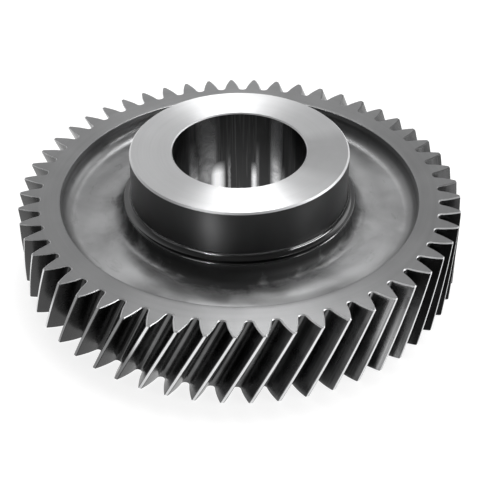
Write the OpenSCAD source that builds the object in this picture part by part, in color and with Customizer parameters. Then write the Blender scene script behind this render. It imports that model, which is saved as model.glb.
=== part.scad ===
// Helical transmission gear, machined from one steel forging.
//
// A toothed rim, a thinner web and a tall hub with a plain bore, all one
// piece. The gear lies on its lower face: Z = 0 is the lower end face of
// the teeth, the bore axis is +Z, and the tall side of the hub points up.
// The teeth are a right-hand helix.

/* [Teeth] */
// Number of teeth
teeth = 53; // [48:1:58]
// Module measured square to the teeth, in millimetres
normal_module = 3.25; // [3:0.05:3.5]
// Pressure angle measured square to the teeth, in degrees
pressure_angle = 17.5; // [16:0.5:20]
// Helix angle at the pitch circle, in degrees, right hand
helix_angle = 24.7; // [15:0.1:30]
// Height of a tooth above the pitch circle
addendum = 5.2; // [4.4:0.1:5.4]
// Depth of a tooth gap below the pitch circle
dedendum = 4.5; // [4:0.1:5]
// Width of the flat land on top of each tooth
tip_land = 1.1; // [0.9:0.1:1.4]
// Break between the land and each flank
tip_break = 0.2; // [0.1:0.05:0.3]
// Largest radius in the two corners of a tooth gap
root_fillet = 1.5; // [0.8:0.1:1.5]
// Chamfer round the teeth at both end faces
end_chamfer = 0.4; // [0.3:0.1:0.8]
// Direction of the middle of one tooth on the upper face, from +X
first_tooth = 92.38; // [0:0.01:360]

/* [Rim and web] */
// Width of the teeth along the axis
face_width = 36.7; // [30:0.1:45]
// Solid rim between the root circle and the recess
rim_wall = 9; // [8:0.5:12]
// Depth of the recess in each face
recess_depth = 8.9; // [7:0.1:10]
// Draft of the rim's inner wall, in degrees
rim_draft = 8; // [3:1:12]
// Fillet between the rim's inner wall and the web
rim_fillet = 6; // [3:0.5:6]
// Rounding of the rim's inner edge
rim_edge = 0.5; // [0.4:0.1:1.2]

/* [Hub] */
// Diameter of the bore
bore_d = 60; // [50:0.5:70]
// Chamfer at both ends of the bore
bore_chamfer = 0.5; // [0.3:0.1:1]
// Diameter of the turned hub above the web
hub_d = 98; // [90:0.5:100]
// Height of the hub above the upper end face of the teeth
hub_rise = 22.65; // [10:0.05:30]
// Chamfer round the top of the hub
hub_chamfer = 0.75; // [0.4:0.05:1.2]
// Fillet where the turned hub runs out on the ledge
hub_fillet = 3; // [1.5:0.1:3]
// Diameter of the ledge round the hub, on the forged neck
ledge_d = 105.5; // [104:0.5:108]
// Depth of the ledge below the upper end face of the teeth
ledge_drop = 1.15; // [0.5:0.05:2]
// Draft of the forged neck under the ledge, in degrees
neck_draft = 6; // [3:1:10]
// Fillet between the neck and the web
neck_fillet = 5; // [3:0.5:5.5]
// Rounding of the ledge's outer edge
ledge_edge = 0.7; // [0.2:0.1:1]

/* [Hidden] */
$fn = 180;

// Pitch, base, tip and root circles.
pitch_r = teeth * normal_module / (2 * cos(helix_angle));
transverse_angle = atan(tan(pressure_angle) / cos(helix_angle));
base_r = pitch_r * cos(transverse_angle);
tip_r = pitch_r + addendum;
root_r = pitch_r - dedendum;
lead = 2 * PI * pitch_r / tan(helix_angle);
recess_r = root_r - rim_wall;

// Involute function, in degrees, of the circle of radius r.
function inv_at(r) = let (a = acos(min(1, base_r / r))) tan(a) * 180 / PI - a;

// Half the angle that a tooth takes up at radius r.
tip_half = (tip_land / 2 + tip_break) / tip_r * 180 / PI;
function half_tooth(r) = tip_half + inv_at(tip_r) - inv_at(r);

// A fillet of radius f touches the root circle and the flank. flank_roll
// is the length of the line from the base circle that ends where it meets
// the flank, and fillet_at is its centre, with the gap's middle on +X.
function flank_roll(f) = sqrt(pow(root_r + f, 2) - pow(base_r, 2)) - f;
function flank_dir(f) =
    let (r = norm([flank_roll(f), base_r]))
    180 / teeth - half_tooth(r) + acos(base_r / r);
function fillet_at(f) =
    let (d = flank_dir(f), l = flank_roll(f) + f)
    base_r * [cos(d), sin(d)] + l * [sin(d), -cos(d)];

// The fillet is made smaller where a gap has no room for two.
function fitting(f) = f < 0.3 || fillet_at(f).y > 0.05 ? f : fitting(f - 0.05);
gap_fillet = fitting(root_fillet);
fillet_c = fillet_at(gap_fillet);
fillet_from = 180 + atan2(fillet_c.y, fillet_c.x);
fillet_to = flank_dir(gap_fillet) + 90;
FILLET_STEPS = 2;
FLANK_STEPS = 2;

// Half of the angle that the land takes up when the whole outline is drawn
// e into the steel, as it is where an end chamfer meets the end face.
function half_land(e) =
    let (whole = half_tooth(tip_r - e) - e / base_r * 180 / PI)
    max(0.3 * whole, whole - tip_break / tip_r * 180 / PI);

// One half gap, from its middle up to the land of the next tooth, drawn
// e into the steel. The flank stays an involute of the same base circle.
function half_gap(e) =
    let (from_r = norm([flank_roll(gap_fillet) - e, base_r]),
         to_r = tip_r - e - tip_break)
    concat(
        [for (i = [0 : FILLET_STEPS])
            let (t = fillet_from + (fillet_to - fillet_from) * i / FILLET_STEPS)
            fillet_c + (gap_fillet + e) * [cos(t), sin(t)]],
        [for (i = [1 : FLANK_STEPS])
            let (r = from_r + (to_r - from_r) * i / FLANK_STEPS,
                 a = 180 / teeth - half_tooth(r) + e / base_r * 180 / PI)
            r * [cos(a), sin(a)]],
        [let (a = 180 / teeth - half_land(e)) (tip_r - e) * [cos(a), sin(a)]]);

function turned(p, a) = [p.x * cos(a) - p.y * sin(a), p.x * sin(a) + p.y * cos(a)];

// The whole outline drawn e into the steel. Each gap has its clockwise
// half first.
function outline(e) =
    let (half = half_gap(e), n = len(half),
         gap = concat([for (i = [n - 1 : -1 : 0]) [half[i].x, -half[i].y]], half))
    [for (k = [0 : teeth - 1], p = gap) turned(p, (k + 0.5) * 360 / teeth)];

// Levels of the toothed blank: height, and how far the outline is drawn
// into the steel there. The first and last are the end chamfers.
HELIX_STEPS = 2;
levels = concat(
    [[0, end_chamfer]],
    [for (i = [0 : HELIX_STEPS])
        [end_chamfer + (face_width - 2 * end_chamfer) * i / HELIX_STEPS, 0]],
    [[face_width, end_chamfer]]);

// Solid helical blank: the outline turns with height, anticlockwise
// going up, which is a right-hand helix. Each end face is a toothed strip
// round a plain polygon that has one corner for each tooth.
module toothed_blank() {
    n = len(outline(0));
    m = len(levels);
    per_tooth = n / teeth;
    plain_r = root_r - 2;
    points = concat(
        [for (l = levels)
            let (a = first_tooth + (l[0] - face_width) * 360 / lead)
            for (q = outline(l[1]))
                let (p = turned(q, a))
                [p.x, p.y, l[0]]],
        [for (j = [0, m - 1], k = [0 : teeth - 1])
            let (l = levels[j],
                 a = first_tooth + (l[0] - face_width) * 360 / lead + (k + 0.5) * 360 / teeth)
            [plain_r * cos(a), plain_r * sin(a), l[0]]]);
    walls = [for (j = [0 : m - 2], i = [0 : n - 1])
        let (a = j * n + i, b = j * n + (i + 1) % n)
        each [[a, b + n, b], [a, a + n, b + n]]];
    // End strip: every point of one gap joins the corner at its middle.
    ends = [for (end = [0, 1], k = [0 : teeth - 1])
        let (ring = end * (m - 1) * n, c = m * n + end * teeth + k,
             d = m * n + end * teeth + (k + 1) % teeth)
        each concat(
            [for (i = [0 : per_tooth - 2])
                let (a = ring + k * per_tooth + i)
                end == 0 ? [c, a, a + 1] : [c, a + 1, a]],
            [let (a = ring + (k + 1) * per_tooth - 1, b = ring + ((k + 1) * per_tooth) % n)
                end == 0 ? [c, a, b] : [c, b, a]],
            [let (b = ring + ((k + 1) * per_tooth) % n)
                end == 0 ? [c, b, d] : [c, d, b]])];
    plain = [[for (k = [0 : teeth - 1]) m * n + k],
             [for (k = [teeth - 1 : -1 : 0]) m * n + teeth + k]];
    polyhedron(points = points, faces = concat(walls, ends, plain), convexity = 10);
}

// Outline of the steel that a fillet of radius r leaves in a corner, or
// that a rounding of radius r takes off an edge: the kite between the
// corner, the two points of contact and the centre, less the circle.
module corner(at, contact_a, contact_b, centre, r) {
    difference() {
        polygon([at, contact_a, centre, contact_b]);
        translate(centre) circle(r = r);
    }
}

// Section of a recess, with its mouth at height 0 on the rim side and at
// height -drop on the side of the neck, where the radius is inner_r.
module recess_section(inner_r, drop) {
    floor_z = -recess_depth;
    neck_foot = inner_r + (recess_depth - drop) * tan(neck_draft);
    rim_foot = recess_r - recess_depth * tan(rim_draft);
    nc = [inner_r + (recess_depth - neck_fillet - drop) * tan(neck_draft)
          + neck_fillet / cos(neck_draft), floor_z + neck_fillet];
    rc = [recess_r - (recess_depth - rim_fillet) * tan(rim_draft)
          - rim_fillet / cos(rim_draft), floor_z + rim_fillet];
    // Centre of the rounding of the rim's inner edge, inside the steel.
    ec = [recess_r - rim_edge * tan(rim_draft) + rim_edge / cos(rim_draft), -rim_edge];
    difference() {
        polygon([[inner_r, 3], [inner_r, -drop], [neck_foot, floor_z],
                 [rim_foot, floor_z], [recess_r, 0], [recess_r, 3]]);
        corner([neck_foot, floor_z],
               nc + neck_fillet * [-cos(neck_draft), -sin(neck_draft)],
               [nc.x, floor_z], nc, neck_fillet);
        corner([rim_foot, floor_z],
               rc + rim_fillet * [cos(rim_draft), -sin(rim_draft)],
               [rc.x, floor_z], rc, rim_fillet);
    }
    corner([recess_r, 0], [ec.x, 0],
           ec + rim_edge * [-cos(rim_draft), sin(rim_draft)], ec, rim_edge);
    translate([recess_r - 1, 0]) square([ec.x - recess_r + 1, 3]);
}

// Section of what turning takes off round the hub, above the ledge.
module turning_section() {
    hub_r = hub_d / 2;
    ledge_r = ledge_d / 2;
    top = hub_rise;
    lc = [ledge_r - ledge_edge, -ledge_drop - ledge_edge];
    difference() {
        polygon([[hub_r, top - hub_chamfer], [hub_r - hub_chamfer - 1, top + 1],
                 [ledge_r + 4, top + 1], [ledge_r + 4, -ledge_drop],
                 [hub_r, -ledge_drop]]);
        corner([hub_r, -ledge_drop], [hub_r, hub_fillet - ledge_drop],
               [hub_r + hub_fillet, -ledge_drop],
               [hub_r + hub_fillet, hub_fillet - ledge_drop], hub_fillet);
    }
    // Rounding of the ledge's outer edge.
    difference() {
        translate([lc.x, lc.y]) square([ledge_edge + 0.1, ledge_edge + 0.1]);
        translate(lc) circle(r = ledge_edge);
    }
}

// Everything that the recess and the turning take off the upper side.
module upper_cut() {
    translate([0, 0, face_width]) rotate_extrude() {
        recess_section(ledge_d / 2, ledge_drop);
        turning_section();
    }
}

// Plain recess in the lower side, the same depth and draft.
module lower_cut() {
    mirror([0, 0, 1]) rotate_extrude() recess_section(ledge_d / 2 - 1, 0);
}

// Rough cylinder of the hub, before it is turned.
module hub_blank() {
    translate([0, 0, face_width - 6]) cylinder(d = ledge_d + 3, h = hub_rise + 6);
}

// Bore right through, with a chamfer at each end.
module bore() {
    r = bore_d / 2;
    top = face_width + hub_rise;
    rotate_extrude()
        polygon([[0, -1], [r + bore_chamfer + 1, -1], [r, bore_chamfer],
                 [r, top - bore_chamfer], [r + bore_chamfer + 1, top + 1],
                 [0, top + 1]]);
}

// The finished gear.
module gear() {
    color("#7f8183") difference() {
        union() {
            toothed_blank();
            hub_blank();
        }
        upper_cut();
        lower_cut();
        bore();
    }
}

gear();
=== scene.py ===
"""Helical transmission gear on a pale floor under soft studio light.

The gear is one watertight mesh: a ring of helical teeth joined to a turned
and forged body of revolution. Every length below is in millimetres and is
turned into metres when the mesh is made.
"""
import math

import bpy
import numpy as np
from mathutils import Matrix, Vector


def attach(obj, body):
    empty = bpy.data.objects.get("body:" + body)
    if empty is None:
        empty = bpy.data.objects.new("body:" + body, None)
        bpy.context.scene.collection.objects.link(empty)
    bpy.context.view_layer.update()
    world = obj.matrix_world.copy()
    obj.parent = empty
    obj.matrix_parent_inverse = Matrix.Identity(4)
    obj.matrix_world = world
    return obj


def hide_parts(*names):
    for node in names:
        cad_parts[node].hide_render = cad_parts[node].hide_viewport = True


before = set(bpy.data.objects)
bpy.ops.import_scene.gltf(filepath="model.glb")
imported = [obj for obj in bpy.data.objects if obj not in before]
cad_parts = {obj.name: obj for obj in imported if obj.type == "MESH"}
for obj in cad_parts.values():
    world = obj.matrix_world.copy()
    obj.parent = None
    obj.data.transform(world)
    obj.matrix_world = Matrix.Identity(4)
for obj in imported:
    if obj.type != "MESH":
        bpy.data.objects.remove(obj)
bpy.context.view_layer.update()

MM = 0.001

# ---------------------------------------------------------------- sizes

TEETH = 53
MODULE = 3.25
PRESSURE = math.radians(17.5)
HELIX = math.radians(24.7)
PITCH_R = TEETH * MODULE / (2 * math.cos(HELIX))
TRANSVERSE = math.atan(math.tan(PRESSURE) / math.cos(HELIX))
BASE_R = PITCH_R * math.cos(TRANSVERSE)
TIP_R = PITCH_R + 5.2
ROOT_R = PITCH_R - 4.5
LEAD = 2 * math.pi * PITCH_R / math.tan(HELIX)
TIP_LAND = 1.1
TIP_BREAK = 0.2
FILLET = 1.5
CHAMFER = 0.4
PHASE = math.radians(92.38)

FACE_W = 36.7
RECESS_R = ROOT_R - 9.0
RECESS = 8.9
RIM_DRAFT = math.radians(8)
RIM_FILLET = 6.0
RIM_EDGE = 0.5

BORE_R = 30.0
BORE_CH = 0.5
HUB_R = 49.0
HUB_TOP = FACE_W + 22.65
HUB_CH = 0.75
HUB_FILLET = 3.0
LEDGE_R = 52.75
LEDGE_Z = FACE_W - 1.15
NECK_DRAFT = math.radians(6)
NECK_FILLET = 5.0
LEDGE_EDGE = 0.7
PITCH = 2 * math.pi / TEETH


def inv_at(r):
    a = np.arccos(np.minimum(1.0, BASE_R / r))
    return np.tan(a) - a


TIP_HALF = (TIP_LAND / 2 + TIP_BREAK) / TIP_R


def half_tooth(r):
    return TIP_HALF + inv_at(TIP_R) - inv_at(r)


# ---------------------------------------------------------------- tooth outline

def half_gap_outline(inset):
    """From the middle of a gap up to the middle of the next land, with the
    gap's middle on +X, and the whole outline drawn inset into the steel."""
    roll = math.sqrt((ROOT_R + FILLET) ** 2 - BASE_R ** 2) - FILLET
    flank_r = math.hypot(roll, BASE_R)
    direction = math.pi / TEETH - half_tooth(flank_r) + math.acos(BASE_R / flank_r)
    centre = np.array([BASE_R * math.cos(direction) + (roll + FILLET) * math.sin(direction),
                       BASE_R * math.sin(direction) - (roll + FILLET) * math.cos(direction)])
    points = []
    for t in np.linspace(math.pi + math.atan2(centre[1], centre[0]), direction + math.pi / 2, 5):
        points.append(centre + (FILLET + inset) * np.array([math.cos(t), math.sin(t)]))

    def on_flank(r):
        return math.pi / TEETH - half_tooth(r) + inset / BASE_R

    tip_flank = TIP_R - inset - TIP_BREAK
    for r in np.linspace(math.hypot(roll - inset, BASE_R), tip_flank, 6)[1:]:
        a = on_flank(r)
        points.append(np.array([r * math.cos(a), r * math.sin(a)]))
    whole = half_tooth(TIP_R - inset) - inset / BASE_R
    a_land = math.pi / TEETH - max(0.3 * whole, whole - TIP_BREAK / TIP_R)
    a_mid = 0.5 * (a_land + on_flank(tip_flank))
    for r, a in ((TIP_R - inset - 0.32 * TIP_BREAK, a_mid), (TIP_R - inset, a_land)):
        points.append(np.array([r * math.cos(a), r * math.sin(a)]))
    return np.array(points)


def gap_outline(inset):
    half = half_gap_outline(inset)
    return np.concatenate([half[::-1] * np.array([1.0, -1.0]), half])


GAP_P = gap_outline(0.0)
M = len(GAP_P)                      # columns in one pitch
assert M % 3 == 0, M
FINE = M * TEETH
COARSE = FINE // 3


def turn(p, a):
    c, s = np.cos(a), np.sin(a)
    return np.stack([p[..., 0] * c - p[..., 1] * s, p[..., 0] * s + p[..., 1] * c], -1)


def outline(inset):
    """All the gaps. Each starts with the land side of its clockwise half."""
    gap = gap_outline(inset)
    return np.concatenate([turn(gap, (k + 0.5) * PITCH) for k in range(TEETH)])


OUT_P = outline(0.0)
KIND = np.concatenate([np.array([2, 1] + [0] * (M - 4) + [1, 2])] * TEETH)

rng = np.random.default_rng(53)


def smooth_noise(theta, s, seed, waves=14, theta_max=9, s_scale=0.25):
    """Slow unevenness of a forged surface, round the axis and along the section."""
    r = np.random.default_rng(seed)
    out = np.zeros(np.broadcast(theta, s).shape)
    for _ in range(waves):
        n = r.integers(1, theta_max + 1)
        k = r.normal(0, s_scale)
        out = out + r.normal(0, 1) * np.cos(n * theta + k * s + r.uniform(0, 2 * math.pi))
    return out / math.sqrt(waves / 2)


# ---------------------------------------------------------------- body section

def arc(centre, r, a0, a1, n):
    """Points of an arc in the (radius, height) plane, angles in radians."""
    return [(centre[0] + r * math.cos(t), centre[1] + r * math.sin(t))
            for t in np.linspace(a0, a1, n)]


# Regions of the finish, in the order of the material slots.
RIM, FORGED, DRIVE, HUBWALL, HUBFACE, BORE, CHAM, FLANK, LAND, SHOULDER = range(10)

section = []                          # (radius, height, region of the strip that follows)


def add(points, region):
    for r, z in points:
        section.append((r, z, region))


def recess_side(sign, face_z, inner_r, inner_z):
    """Section from the rim's inner edge over the web to the neck."""
    def at(depth):
        return face_z - sign * depth
    floor = RECESS
    foot = inner_z
    ec = (RECESS_R - RIM_EDGE * math.tan(RIM_DRAFT) + RIM_EDGE / math.cos(RIM_DRAFT), RIM_EDGE)
    pts = []
    edge = [(ec[0] + RIM_EDGE * math.cos(t), ec[1] - RIM_EDGE * math.sin(t))
            for t in np.linspace(math.pi / 2, math.pi - RIM_DRAFT, 6)]
    rc = (RECESS_R - (RECESS - RIM_FILLET) * math.tan(RIM_DRAFT) - RIM_FILLET / math.cos(RIM_DRAFT),
          floor - RIM_FILLET)
    fil = [(rc[0] + RIM_FILLET * math.cos(t), rc[1] + RIM_FILLET * math.sin(t))
           for t in np.linspace(-RIM_DRAFT, math.pi / 2, 12)]
    nc = (inner_r + (RECESS - NECK_FILLET - foot) * math.tan(NECK_DRAFT) + NECK_FILLET / math.cos(NECK_DRAFT),
          floor - NECK_FILLET)
    nf = [(nc[0] + NECK_FILLET * math.cos(t), nc[1] + NECK_FILLET * math.sin(t))
          for t in np.linspace(math.pi / 2, math.pi + NECK_DRAFT, 12)]
    web = [(r, floor) for r in np.linspace(rc[0], nc[0], 12)[1:-1]]
    for p in edge:
        pts.append((p[0], at(p[1]), RIM if p is not edge[-1] else FORGED))
    wall = [(edge[-1][0] + (fil[0][0] - edge[-1][0]) * t, edge[-1][1] + (fil[0][1] - edge[-1][1]) * t)
            for t in (0.5,)]
    for p in wall + fil + web + nf:
        pts.append((p[0], at(p[1]), FORGED))
    return pts


# Upper side, from the rim inwards.
add([(88.0, FACE_W), (86.0, FACE_W), (84.0, FACE_W)], RIM)
section += recess_side(1, FACE_W, LEDGE_R, FACE_W - LEDGE_Z)
# Neck wall up to the ledge's rounded outer edge.
lc = (LEDGE_R - LEDGE_EDGE, LEDGE_Z - LEDGE_EDGE)
add(arc(lc, LEDGE_EDGE, -NECK_DRAFT, math.pi / 2, 6), SHOULDER)
hf = (HUB_R + HUB_FILLET, LEDGE_Z + HUB_FILLET)
add(arc(hf, HUB_FILLET, -math.pi / 2, -math.pi, 12), SHOULDER)
section[-1] = (*section[-1][:2], HUBWALL)
add([(HUB_R, z) for z in np.linspace(LEDGE_Z + HUB_FILLET, HUB_TOP - HUB_CH, 6)[1:-1]], HUBWALL)
add([(HUB_R, HUB_TOP - HUB_CH)], CHAM)
add([(HUB_R - HUB_CH, HUB_TOP)], HUBFACE)
add([(r, HUB_TOP) for r in np.linspace(HUB_R - HUB_CH, BORE_R + BORE_CH, 8)[1:-1]], HUBFACE)
add([(BORE_R + BORE_CH, HUB_TOP)], CHAM)
add([(BORE_R, HUB_TOP - BORE_CH)], BORE)
add([(BORE_R, z) for z in np.linspace(HUB_TOP - BORE_CH, BORE_CH, 10)[1:-1]], BORE)
add([(BORE_R, BORE_CH)], CHAM)
add([(BORE_R + BORE_CH, 0.0)], HUBFACE)
LOWER_R = LEDGE_R - 1
add([(r, 0.0) for r in np.linspace(BORE_R + BORE_CH, LOWER_R - 0.5, 6)[1:-1]], HUBFACE)
low = (LOWER_R - 0.5, 0.5)
add([(low[0] + 0.5 * math.cos(t), low[1] + 0.5 * math.sin(t))
     for t in np.linspace(-math.pi / 2, NECK_DRAFT, 5)], FORGED)
lower = recess_side(-1, 0.0, LOWER_R, 0.0)[::-1]
# Reversing the section moves each strip's region to its other end.
lower = [(lower[i][0], lower[i][1], lower[i + 1][2] if i + 1 < len(lower) else RIM)
         for i in range(len(lower))]
section += lower
add([(84.0, 0.0), (86.0, 0.0), (88.0, 0.0)], RIM)
section = np.array(section)

# ---------------------------------------------------------------- vertices and faces

verts, faces, mats = [], [], []


def ring(points):
    start = sum(len(v) for v in verts)
    verts.append(np.asarray(points, float))
    return start


def strip(a, b, n, mat, flip_it=False):
    """Quads between two rings of n points that start at a and b. mat is one
    region, or one for each column."""
    i = np.arange(n)
    j = (i + 1) % n
    q = np.stack([a + i, a + j, b + j, b + i], -1)
    if flip_it:
        q = q[:, ::-1]
    faces.extend(q.tolist())
    mats.extend([mat] * n if np.isscalar(mat) else list(mat))


# Teeth, from the upper end face down.
levels = [(FACE_W, CHAMFER), (FACE_W - CHAMFER, 0.0)]
levels += [(z, 0.0) for z in np.linspace(FACE_W - CHAMFER, CHAMFER, 12)[1:-1]]
levels += [(CHAMFER, 0.0), (0.0, CHAMFER)]
rows = []
for z, inset in levels:
    a = PHASE + (z - FACE_W) * 2 * math.pi / LEAD
    p = turn(outline(inset), a)
    rows.append(ring(np.column_stack([p, np.full(FINE, z)])))
# The clockwise half of a gap is the flank that faces anticlockwise and down.
half_of = np.tile(np.where(np.arange(M) < M // 2, FLANK, DRIVE), TEETH)
land_or_flank = np.where((KIND == 2) & (np.roll(KIND, -1) == 2), LAND, half_of)
for k in range(len(rows) - 1):
    region = CHAM if k in (0, len(rows) - 2) else land_or_flank
    strip(rows[k + 1], rows[k], FINE, region)

# Plain strips of the two end faces, and the step down to the coarser columns.
THETA = np.arctan2(OUT_P[:, 1], OUT_P[:, 0])


def end_face(z, row, up):
    a = PHASE + (z - FACE_W) * 2 * math.pi / LEAD
    th = THETA + a
    fine = ring(np.column_stack([89.2 * np.cos(th), 89.2 * np.sin(th), np.full(FINE, z)]))
    strip(row, fine, FINE, RIM, flip_it=not up)
    return fine


fine_top = end_face(FACE_W, rows[0], True)
fine_low = end_face(0.0, rows[-1], False)

shift = int(round((FACE_W * 2 * math.pi / LEAD) / (2 * math.pi / COARSE)))
cj = np.arange(COARSE)
CTH = PHASE + THETA[0] + cj * 2 * math.pi / COARSE

arc_len = np.concatenate([[0], np.cumsum(np.hypot(np.diff(section[:, 0]), np.diff(section[:, 1])))])
body_rows = []
for n, (r, z, region) in enumerate(section):
    rr = np.full(COARSE, r)
    zz = np.full(COARSE, z)
    if region == FORGED:
        # The forging skin is not quite flat over the web.
        k = math.sin(math.pi * min(1.0, max(0.0, (r - 57.0) / 19.0)))
        zz = zz + 0.16 * k * smooth_noise(CTH, np.full(COARSE, r), 7 if z > FACE_W / 2 else 8)
    body_rows.append(ring(np.column_stack([rr * np.cos(CTH), rr * np.sin(CTH), zz])))
for n in range(len(section) - 1):
    strip(body_rows[n], body_rows[n + 1], COARSE, int(section[n][2]), flip_it=False)


def step_down(fine, coarse, offset, up):
    for j in range(COARSE):
        f = [fine + (3 * j + t) % FINE for t in range(4)]
        c0 = coarse + (j + offset) % COARSE
        c1 = coarse + (j + 1 + offset) % COARSE
        for tri in ([f[0], f[1], c0], [f[1], f[2], c1, c0], [f[2], f[3], c1]):
            faces.append(tri if up else tri[::-1])
            mats.append(RIM)


step_down(fine_top, body_rows[0], 0, True)
step_down(fine_low, body_rows[-1], -shift, False)

V = np.concatenate(verts)

mesh = bpy.data.meshes.new("gear_body")
mesh.from_pydata((V * MM).tolist(), [], faces)
mesh.update()
gear = bpy.data.objects.new("gear_body", mesh)
bpy.context.scene.collection.objects.link(gear)
mesh.polygons.foreach_set("use_smooth", [True] * len(mesh.polygons))
mesh.polygons.foreach_set("material_index", mats)
mesh.set_sharp_from_angle(angle=math.radians(18))
if mesh.validate(verbose=True):
    raise RuntimeError("the mesh had invalid faces")

# ---------------------------------------------------------------- node helpers


class Nodes:
    """Short way to write a material's node tree."""

    def __init__(self, name):
        self.mat = bpy.data.materials.new(name)
        self.mat.use_nodes = True
        self.t = self.mat.node_tree
        for n in list(self.t.nodes):
            self.t.nodes.remove(n)
        self.out = self.t.nodes.new("ShaderNodeOutputMaterial")
        self.bsdf = self.t.nodes.new("ShaderNodeBsdfPrincipled")
        self.t.links.new(self.bsdf.outputs[0], self.out.inputs[0])
        self.coord = self.t.nodes.new("ShaderNodeTexCoord").outputs["Object"]

    def link(self, a, b):
        self.t.links.new(a, b)

    def put(self, value, socket):
        if isinstance(value, bpy.types.NodeSocket):
            self.link(value, socket)
        elif value is not None:
            socket.default_value = value

    def math(self, op, a, b=None, c=None, clamp=False):
        n = self.t.nodes.new("ShaderNodeMath")
        n.operation = op
        n.use_clamp = clamp
        for k, v in enumerate((a, b, c)):
            if v is not None:
                self.put(v, n.inputs[k])
        return n.outputs[0]

    def xyz(self, v=None):
        n = self.t.nodes.new("ShaderNodeSeparateXYZ")
        self.link(v or self.coord, n.inputs[0])
        return n.outputs

    def combine(self, x, y, z):
        n = self.t.nodes.new("ShaderNodeCombineXYZ")
        for k, v in enumerate((x, y, z)):
            self.put(v, n.inputs[k])
        return n.outputs[0]

    def polar(self):
        """Radius in metres, unit vector round the axis, and height."""
        x, y, z = self.xyz()
        r = self.math("SQRT", self.math("ADD", self.math("MULTIPLY", x, x), self.math("MULTIPLY", y, y)))
        return r, self.math("DIVIDE", x, r), self.math("DIVIDE", y, r), z

    def noise(self, vector, scale, detail=3.0, rough=0.5, distort=0.0):
        n = self.t.nodes.new("ShaderNodeTexNoise")
        self.link(vector, n.inputs["Vector"])
        n.inputs["Scale"].default_value = scale
        n.inputs["Detail"].default_value = detail
        n.inputs["Roughness"].default_value = rough
        n.inputs["Distortion"].default_value = distort
        return n.outputs["Fac"]

    def ramp(self, fac, stops, mode="LINEAR"):
        n = self.t.nodes.new("ShaderNodeValToRGB")
        n.color_ramp.interpolation = mode
        e = n.color_ramp.elements
        while len(e) < len(stops):
            e.new(0.5)
        for k, (pos, col) in enumerate(stops):
            e[k].position = pos
            e[k].color = (col, col, col, 1) if np.isscalar(col) else (*col, 1)
        self.put(fac, n.inputs[0])
        return n.outputs[0]

    def mix(self, fac, a, b):
        n = self.t.nodes.new("ShaderNodeMix")
        n.data_type = "RGBA"
        self.put(fac, n.inputs["Factor"])
        for v, s in ((a, n.inputs[6]), (b, n.inputs[7])):
            if isinstance(v, bpy.types.NodeSocket):
                self.link(v, s)
            else:
                s.default_value = (v, v, v, 1) if np.isscalar(v) else (*v, 1)
        return n.outputs[2]

    def bump(self, height, strength, distance, normal=None):
        n = self.t.nodes.new("ShaderNodeBump")
        n.inputs["Strength"].default_value = strength
        n.inputs["Distance"].default_value = distance
        self.link(height, n.inputs["Height"])
        if normal is not None:
            self.link(normal, n.inputs["Normal"])
        return n.outputs[0]

    def finish(self, base, rough, normal=None, metallic=1.0, specular=0.5, aniso=0.0):
        b = self.bsdf
        if isinstance(base, bpy.types.NodeSocket):
            self.link(base, b.inputs["Base Color"])
        else:
            b.inputs["Base Color"].default_value = (*base, 1)
        self.put(rough, b.inputs["Roughness"])
        b.inputs["Metallic"].default_value = metallic
        b.inputs["Specular IOR Level"].default_value = specular
        if aniso:
            b.inputs["Anisotropic"].default_value = aniso
            b.inputs["Anisotropic Rotation"].default_value = 0.25
            tan = self.t.nodes.new("ShaderNodeTangent")
            tan.direction_type = "RADIAL"
            tan.axis = "Z"
            self.link(tan.outputs[0], b.inputs["Tangent"])
        if normal is not None:
            self.link(normal, b.inputs["Normal"])
        return self.mat


def map_range(n, value, a0, a1, b0, b1):
    m = n.t.nodes.new("ShaderNodeMapRange")
    n.put(value, m.inputs["Value"])
    m.inputs["From Min"].default_value = a0
    m.inputs["From Max"].default_value = a1
    m.inputs["To Min"].default_value = b0
    m.inputs["To Max"].default_value = b1
    return m.outputs["Result"]


# ---------------------------------------------------------------- finishes

def sector(n, cx, cy, degrees, half_width, wobble=None):
    """1 at one direction round the axis, falling to 0 at half_width degrees."""
    a = math.radians(degrees)
    away = n.math("SUBTRACT", 1.0, n.math("ADD", n.math("MULTIPLY", cx, math.cos(a)),
                                          n.math("MULTIPLY", cy, math.sin(a))))
    if wobble is not None:
        away = n.math("ADD", away, wobble)
    return map_range(n, away, 0.0, 1.0 - math.cos(math.radians(half_width)), 1.0, 0.0)


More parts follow.
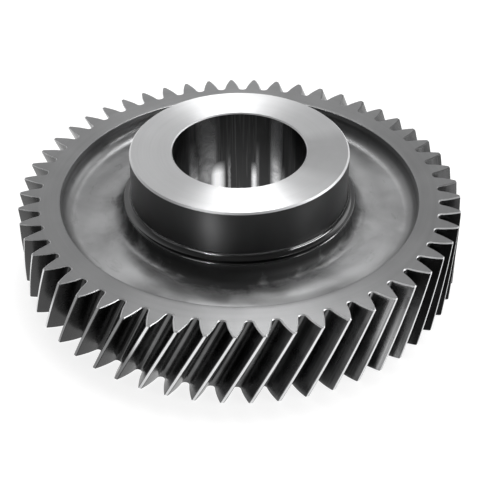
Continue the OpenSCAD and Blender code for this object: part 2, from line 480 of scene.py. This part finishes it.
def turned(name, light, dark, rough_lo, rough_hi, groove, aniso, smudge=0.15, scale=1.0, painted_patches=()):
    """A face turned on a lathe: fine rings round the axis, faint smudges.
    Each patch is a place, in degrees and metres, painted darker as painted shade or lighter as painted highlight."""
    n = Nodes(name)
    r, cx, cy, z = n.polar()
    rings = n.combine(n.math("MULTIPLY", cx, 0.9), n.math("MULTIPLY", cy, 0.9),
                      n.math("MULTIPLY", r, 1400.0 * scale))
    fine = n.noise(rings, 1.6, 4.0, 0.65)
    broad_rings = n.noise(n.combine(n.math("MULTIPLY", cx, 0.5), n.math("MULTIPLY", cy, 0.5),
                                    n.math("MULTIPLY", r, 260.0)), 1.0, 2.0, 0.5)
    cloud = n.noise(n.coord, 38.0, 4.0, 0.6, 0.4)
    blotch = n.noise(n.coord, 14.0, 2.0, 0.5)
    shade = n.math("ADD", n.math("MULTIPLY", fine, 0.35), n.math("MULTIPLY", broad_rings, 0.35))
    shade = n.math("ADD", shade, n.math("MULTIPLY", cloud, 0.3))
    base = n.mix(map_range(n, shade, 0.35, 0.65, 0.0, 1.0), dark, light)
    base = n.mix(map_range(n, blotch, 0.52, 0.75, 0.0, smudge), base, tuple(c * 0.72 for c in dark))
    # Painted patches: places given a darker or lighter colour that stands for shade or highlight.
    for degrees, half_width, z_mid, z_half, colour in painted_patches:
        up_down = map_range(n, n.math("ABSOLUTE", n.math("SUBTRACT", z, z_mid)), 0.0, z_half, 1.5, 0.0)
        soft = n.math("MULTIPLY", sector(n, cx, cy, degrees, half_width), up_down, clamp=True)
        soft = n.math("POWER", soft, 1.3)
        base = n.mix(n.math("MULTIPLY", soft, map_range(n, cloud, 0.3, 0.7, 0.6, 1.0)), base, colour)
    rough = map_range(n, n.math("ADD", n.math("MULTIPLY", cloud, 0.6), n.math("MULTIPLY", fine, 0.4)),
                      0.35, 0.65, rough_lo, rough_hi)
    normal = n.bump(fine, groove, 0.00004)
    return n.finish(base, rough, normal, aniso=aniso)


def ground_bore(name, dark, light):
    """A ground bore, dark as painted shade, with faint lighter streaks along it and bright streaks at given directions
    that are painted reflections.
    """
    n = Nodes(name)
    r, cx, cy, z = n.polar()
    along = n.noise(n.combine(n.math("MULTIPLY", cx, 26.0), n.math("MULTIPLY", cy, 26.0),
                              n.math("MULTIPLY", z, 22.0)), 1.0, 3.0, 0.6, 0.3)
    mottle = n.noise(n.coord, 160.0, 4.0, 0.65, 0.5)
    wobble = n.math("MULTIPLY", n.math("SUBTRACT", mottle, 0.5), 0.0012)
    clean_and_painted_light = n.math("MULTIPLY", map_range(n, along, 0.5, 0.8, 0.0, 0.10), 1.0)
    # Painted reflections: direction, half width, strength, and the heights where each starts and is full.
    for degrees, half_width, strength, z0, z1 in (
            (121.0, 12.0, 0.36, 0.070, 0.050), (110.5, 8.0, 1.0, 0.034, 0.027), (115.0, 5.0, 0.30, 0.070, 0.045),
            (99.3, 1.6, 0.35, 0.038, 0.028), (76.4, 3.2, 0.9, 0.033, 0.024), (73.5, 2.0, 0.30, 0.045, 0.030),
            (54.5, 7.0, 0.75, 0.076, 0.058), (47.0, 3.5, 0.30, 0.036, 0.026), (136.0, 7.0, 0.60, 0.050, 0.030)):
        painted_mask = n.math("MULTIPLY", sector(n, cx, cy, degrees, half_width, wobble),
                      map_range(n, z, z0, z1, 0.0, strength))
        if strength not in (1.0, 0.9, 0.5):
            painted_mask = n.math("MULTIPLY", painted_mask, map_range(n, mottle, 0.35, 0.6, 0.45, 1.0))
        clean_and_painted_light = n.math("MAXIMUM", clean_and_painted_light, painted_mask)
    base = n.mix(clean_and_painted_light, dark, light)
    rough = map_range(n, clean_and_painted_light, 0.0, 0.8, 0.30, 0.16)
    return n.finish(base, rough, n.bump(along, 0.05, 0.00004), aniso=0.8)


def forged(name, light, dark, rough_lo, rough_hi, strength=0.25):
    """Shot-blasted forging skin: fine grain, soft dents and scale marks, with painted shade round the neck and painted
    light on the web.
    """
    n = Nodes(name)
    r, cx, cy, z = n.polar()
    grain = n.noise(n.coord, 900.0, 3.0, 0.6)
    dents = n.noise(n.coord, 120.0, 3.0, 0.5, 0.3)
    cloud = n.noise(n.coord, 30.0, 4.0, 0.6, 0.6)
    streak = n.noise(n.combine(n.math("MULTIPLY", cx, 6.0), n.math("MULTIPLY", cy, 6.0),
                               n.math("MULTIPLY", r, 260.0)), 1.0, 4.0, 0.65, 0.8)
    base = n.mix(map_range(n, cloud, 0.35, 0.65, 0.0, 1.0), dark, light)
    base = n.mix(map_range(n, streak, 0.60, 0.72, 0.0, 0.35), base, tuple(c * 0.5 for c in dark))
    # Painted light: a lighter band on the web between the neck's painted shade and the rim, on one side only.
    clean_and_painted_light = n.math("MULTIPLY", map_range(n, r, 0.0625, 0.0670, 0.0, 1.0), map_range(n, r, 0.0720, 0.0760, 1.0, 0.0))
    clean_and_painted_light = n.math("MULTIPLY", clean_and_painted_light, n.math("MULTIPLY", sector(n, cx, cy, 271.0, 32.0), 1.3, clamp=True))
    base = n.mix(n.math("MULTIPLY", clean_and_painted_light, 0.85), base, tuple(c * 1.6 for c in light))
    # Painted shade round the foot of the neck, fading out over the web and reaching farther on one side as a painted
    # shadow of the hub.
    near = n.math("ADD", r, n.math("MULTIPLY", n.math("SUBTRACT", cloud, 0.5), 0.022))
    near = n.math("ADD", near, n.math("MULTIPLY", n.math("SUBTRACT", streak, 0.5), 0.010))
    near = n.math("ADD", near, n.math("MULTIPLY", sector(n, cx, cy, 270.0, 58.0), -0.0052))
    base = n.mix(map_range(n, near, 0.0525, 0.0570, 0.90, 0.0), base, tuple(c * 0.16 for c in dark))
    base = n.mix(map_range(n, near, 0.0540, 0.0640, 0.46, 0.0), base, tuple(c * 0.42 for c in dark))
    rough = map_range(n, n.math("ADD", n.math("MULTIPLY", cloud, 0.5), n.math("MULTIPLY", dents, 0.5)),
                      0.35, 0.65, rough_lo, rough_hi)
    # The painted-shade band is also rougher.
    rough = n.math("ADD", rough, map_range(n, near, 0.0520, 0.0570, 0.26, 0.0))
    h = n.math("ADD", n.math("MULTIPLY", grain, 0.25), n.math("MULTIPLY", dents, 1.0))
    normal = n.bump(h, strength, 0.00025)
    return n.finish(base, rough, normal)


def hobbed(name, light, dark, rough_lo, rough_hi, painted_places=()):
    """Cut flanks: faint lines along the tooth and feed marks across it. Each place is a stretch round the gear painted
    with its own colour as painted light or painted shade."""
    n = Nodes(name)
    x, y, z = n.xyz()
    r, cx, cy, _ = n.polar()
    k = 2 * math.pi / (LEAD * MM)
    # Turn back by the helix so that the pattern runs along each tooth.
    ang = n.math("MULTIPLY", z, k)
    c, s = n.math("COSINE", ang), n.math("SINE", ang)
    ux = n.math("ADD", n.math("MULTIPLY", cx, c), n.math("MULTIPLY", cy, s))
    uy = n.math("SUBTRACT", n.math("MULTIPLY", cy, c), n.math("MULTIPLY", cx, s))
    along = n.noise(n.combine(n.math("MULTIPLY", ux, 300.0), n.math("MULTIPLY", uy, 300.0),
                              n.math("MULTIPLY", z, 30.0)), 1.0, 3.0, 0.6)
    feed = n.noise(n.combine(n.math("MULTIPLY", cx, 8.0), n.math("MULTIPLY", cy, 8.0),
                             n.math("MULTIPLY", z, 900.0)), 1.0, 2.0, 0.5)
    cloud = n.noise(n.coord, 60.0, 3.0, 0.6, 0.5)
    shade = n.math("ADD", n.math("MULTIPLY", along, 0.4), n.math("MULTIPLY", cloud, 0.6))
    tone = map_range(n, shade, 0.35, 0.65, 0.0, 1.0)
    base = n.mix(tone, dark, light)
    # Painted light and shade: stretches round the gear given their own colour.
    for degrees, half_width, part, a, b in painted_places:
        # Full over the inner part of the stretch, then fading to its ends.
        painted_mask = n.math("MULTIPLY", sector(n, cx, cy, degrees, half_width), 1.0 / part, clamp=True)
        base = n.mix(painted_mask, base, n.mix(tone, a, b))
    rough = map_range(n, cloud, 0.35, 0.65, rough_lo, rough_hi)
    h = n.math("ADD", n.math("MULTIPLY", along, 0.6), n.math("MULTIPLY", feed, 0.4))
    normal = n.bump(h, 0.12, 0.00006)
    return n.finish(base, rough, normal)


cool = (0.985, 0.99, 1.0)


def grey(v):
    return tuple(v * c for c in cool)


materials = [None] * 10
materials[RIM] = turned("steel_rim_face", grey(0.262), grey(0.225), 0.30, 0.36, 0.05, 0.5, 0.2, 0.6)
# The forged web carries painted shade at the neck and painted light on one side.
materials[FORGED] = forged("steel_forged_web_painted_light_and_shade", grey(0.275), grey(0.225), 0.32, 0.42)
# The hub wall is the same steel as the hub face, given a near-black colour: painted shade.
materials[HUBWALL] = turned("steel_hub_wall_painted_shade", grey(0.07), grey(0.055), 0.34, 0.40, 0.05, 0.7)
# The shoulder at the hub's foot is given a dark colour: painted shade in the crease.
materials[SHOULDER] = turned("steel_hub_shoulder_painted_shade", grey(0.13), grey(0.10), 0.13, 0.17, 0.02, 0.0)
# Two darker patches on the hub face are painted shade that dims its highlight on two sides.
materials[HUBFACE] = turned("steel_hub_face_painted_shade", grey(0.67), grey(0.60), 0.30, 0.36, 0.10, 0.85, 0.1,
                            painted_patches=((353.0, 30.0, 0.05935, 0.01, grey(0.47)), (262.0, 5.0, 0.05935, 0.01, grey(0.55))))
# The bore is painted shade with painted reflections in its colour.
materials[BORE] = ground_bore("steel_bore_painted_shade_and_reflections", grey(0.055), grey(1.0))
# The chamfers are given a light colour as a painted highlight on the edges; the two dark patches on the upper chamfers
# at one side are painted shade.
materials[CHAM] = turned("steel_chamfer_painted_highlight_and_shade", grey(0.80), grey(0.70), 0.42, 0.50, 0.05, 0.0,
                         painted_patches=((42.0, 50.0, 0.0367, 0.003, grey(0.10)), (28.0, 40.0, 0.0367, 0.003, grey(0.10))))
# The downward flank is given a near-black colour, far darker than the upward flank: painted shade; its lighter place on
# one side is painted light.
materials[FLANK] = hobbed("steel_flank_down_painted_shade_and_light", grey(0.035), grey(0.022), 0.20, 0.30,
                          painted_places=((271.0, 29.0, 0.25, grey(0.10), grey(0.17)),))
# On the upward flank one place is painted light and two are painted shade.
materials[DRIVE] = hobbed("steel_flank_up_painted_light_and_shade", grey(0.17), grey(0.055), 0.20, 0.32,
                          painted_places=((313.0, 10.0, 0.5, grey(0.13), grey(0.34)), (351.0, 35.0, 0.25, grey(0.022), grey(0.045)),
                                  (54.0, 32.0, 0.3, grey(0.08), grey(0.13))))
# The tip lands are given a light colour as a painted highlight; their two darker places are painted shade.
materials[LAND] = hobbed("steel_tip_land_painted_highlight_and_shade", grey(0.80), grey(0.66), 0.24, 0.32,
                         painted_places=((231.0, 15.0, 0.4, grey(0.16), grey(0.24)), (36.0, 46.0, 0.35, grey(0.10), grey(0.16))))
for m in materials:
    mesh.materials.append(m)

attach(gear, "root")
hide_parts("gear")

# ---------------------------------------------------------------- floor

floor_mesh = bpy.data.meshes.new("floor")
S = 6.0
floor_mesh.from_pydata([(-S, -S, -0.0002), (S, -S, -0.0002), (S, S, -0.0002), (-S, S, -0.0002)], [], [(0, 1, 2, 3)])
floor = bpy.data.objects.new("floor", floor_mesh)
bpy.context.scene.collection.objects.link(floor)
fn = Nodes("pale_floor")
tint = fn.noise(fn.coord, 3.0, 2.0, 0.5)
fn.finish(fn.mix(tint, (0.28, 0.28, 0.28), (0.30, 0.30, 0.30)), 0.7, metallic=0.0, specular=0.2)
fn.bsdf.inputs["Emission Color"].default_value = (1, 1, 1, 1)
fn.bsdf.inputs["Emission Strength"].default_value = 0.84
floor_mesh.materials.append(fn.mat)

# ---------------------------------------------------------------- camera

scene = bpy.context.scene
EL = math.radians(37.38)
DIST, TX, TY, ROLL = 571.5, -0.12, 22.56, math.radians(0.22)
back = np.array([0, -math.cos(EL), math.sin(EL)])
up = np.array([0, math.sin(EL), math.cos(EL)])
right = np.array([1.0, 0, 0])
place = back * DIST - right * TX - up * TY + np.array([0, 0, FACE_W])
c, s = math.cos(ROLL), math.sin(ROLL)
cam_x = c * right - s * up
cam_y = s * right + c * up
cam_data = bpy.data.cameras.new("camera")
cam_data.sensor_fit = "HORIZONTAL"
cam_data.sensor_width = 36.0
cam_data.lens = 1254.7 / 480 * 36.0
cam_data.clip_start = 0.01
cam_data.clip_end = 50
camera = bpy.data.objects.new("camera", cam_data)
scene.collection.objects.link(camera)
camera.matrix_world = Matrix((
    (cam_x[0], cam_y[0], back[0], place[0] * MM),
    (cam_x[1], cam_y[1], back[1], place[1] * MM),
    (cam_x[2], cam_y[2], back[2], place[2] * MM),
    (0, 0, 0, 1)))
scene.camera = camera

# ---------------------------------------------------------------- light

scene.view_settings.view_transform = "Standard"
scene.view_settings.look = "None"
scene.view_settings.exposure = 0.0
scene.view_settings.gamma = 1.0


def area(name, at, look_at, size, power, size_y=None, spread=None):
    d = bpy.data.lights.new(name, "AREA")
    d.shape = "RECTANGLE" if size_y else "SQUARE"
    d.size = size
    if size_y:
        d.size_y = size_y
    d.energy = power
    if spread:
        d.spread = math.radians(spread)
    o = bpy.data.objects.new(name, d)
    scene.collection.objects.link(o)
    o.location = at
    o.rotation_euler = (Vector(look_at) - Vector(at)).to_track_quat("-Z", "Y").to_euler()
    o.visible_camera = False
    return o


area("softbox_back", (0.11, 0.60, 1.26), (0, 0, 0), 0.30, 3.6, 0.34)
area("softbox_top", (0.05, 0.44, 1.43), (0, 0, 0), 0.8, 11.0, 0.37)
area("softbox_right", (1.05, 0.75, 0.80), (0, 0, 0), 0.9, 2.5, 0.7)
area("strip_right", (1.36, -0.60, 0.15), (0, 0, 0.03), 0.9, 3.6, 0.24)
area("strip_left", (-0.98, -1.16, 0.14), (0, 0, 0.03), 0.56, 1.1, 0.26)
area("card_left", (-1.45, -0.42, 0.16), (0, 0, 0.03), 0.9, 0.45, 0.30)
area("softbox_side", (1.31, -0.38, 0.62), (0, 0, 0.03), 1.15, 8.0, 0.16)

# A narrow beam from the left of the front, on the top of the hub's wall.
beam = bpy.data.lights.new("beam", "SPOT")
beam.energy = 62.0
beam.spot_size = math.radians(2.1)
beam.spot_blend = 1.0
beam.shadow_soft_size = 0.01
beam_lamp = bpy.data.objects.new("beam", beam)
scene.collection.objects.link(beam_lamp)
beam_lamp.location = (-0.3817, -0.7431, 0.1929)
beam_lamp.rotation_euler = (Vector((-0.0119, -0.0475, 0.0525)) - beam_lamp.location).to_track_quat("-Z", "Y").to_euler()
beam_lamp.visible_camera = False

world = bpy.data.worlds.new("studio")
scene.world = world
world.use_nodes = True
wt = world.node_tree
for node in list(wt.nodes):
    wt.nodes.remove(node)
wout = wt.nodes.new("ShaderNodeOutputWorld")
wbg = wt.nodes.new("ShaderNodeBackground")
wt.links.new(wbg.outputs[0], wout.inputs[0])
wc = wt.nodes.new("ShaderNodeTexCoord")
wsep = wt.nodes.new("ShaderNodeSeparateXYZ")
wt.links.new(wc.outputs["Generated"], wsep.inputs[0])


def wramp(socket, stops):
    r = wt.nodes.new("ShaderNodeValToRGB")
    e = r.color_ramp.elements
    while len(e) < len(stops):
        e.new(0.5)
    for k, (pos, v) in enumerate(stops):
        e[k].position = pos
        e[k].color = (v, v, v, 1)
    wt.links.new(socket, r.inputs[0])
    return r.outputs[0]


def wmath(op, a, b):
    m = wt.nodes.new("ShaderNodeMath")
    m.operation = op
    for v, sock in ((a, m.inputs[0]), (b, m.inputs[1])):
        if isinstance(v, bpy.types.NodeSocket):
            wt.links.new(v, sock)
        else:
            sock.default_value = v
    return m.outputs[0]


# Brightness with height, and darker on the side of the camera.
by_height = wramp(wsep.outputs[2], [(0.0, 0.75), (0.3, 0.75), (0.5, 0.78), (0.64, 0.86), (0.8, 1.0), (1.0, 0.7)])
half_y = wmath("ADD", wmath("MULTIPLY", wsep.outputs[1], 0.5), 0.5)
by_depth = wramp(half_y, [(0.0, 0.12), (0.5, 0.20), (0.7, 0.5), (0.85, 1.0), (1.0, 1.0)])
half_x = wmath("ADD", wmath("MULTIPLY", wsep.outputs[0], 0.5), 0.5)
by_side = wramp(half_x, [(0.0, 1.0), (0.35, 1.0), (0.65, 0.66), (1.0, 0.66)])
sky = wmath("MULTIPLY", wmath("MULTIPLY", by_height, by_depth), by_side)
# A plain pale backdrop where the camera looks past the floor.
path = wt.nodes.new("ShaderNodeLightPath").outputs["Is Camera Ray"]
seen = wmath("MULTIPLY", path, 0.8)
rest = wmath("MULTIPLY", sky, wmath("SUBTRACT", 1.0, path))
wt.links.new(wmath("ADD", seen, rest), wbg.inputs[0])
wbg.inputs[1].default_value = 1.0

# ---------------------------------------------------------------- the end

bpy.context.view_layer.update()
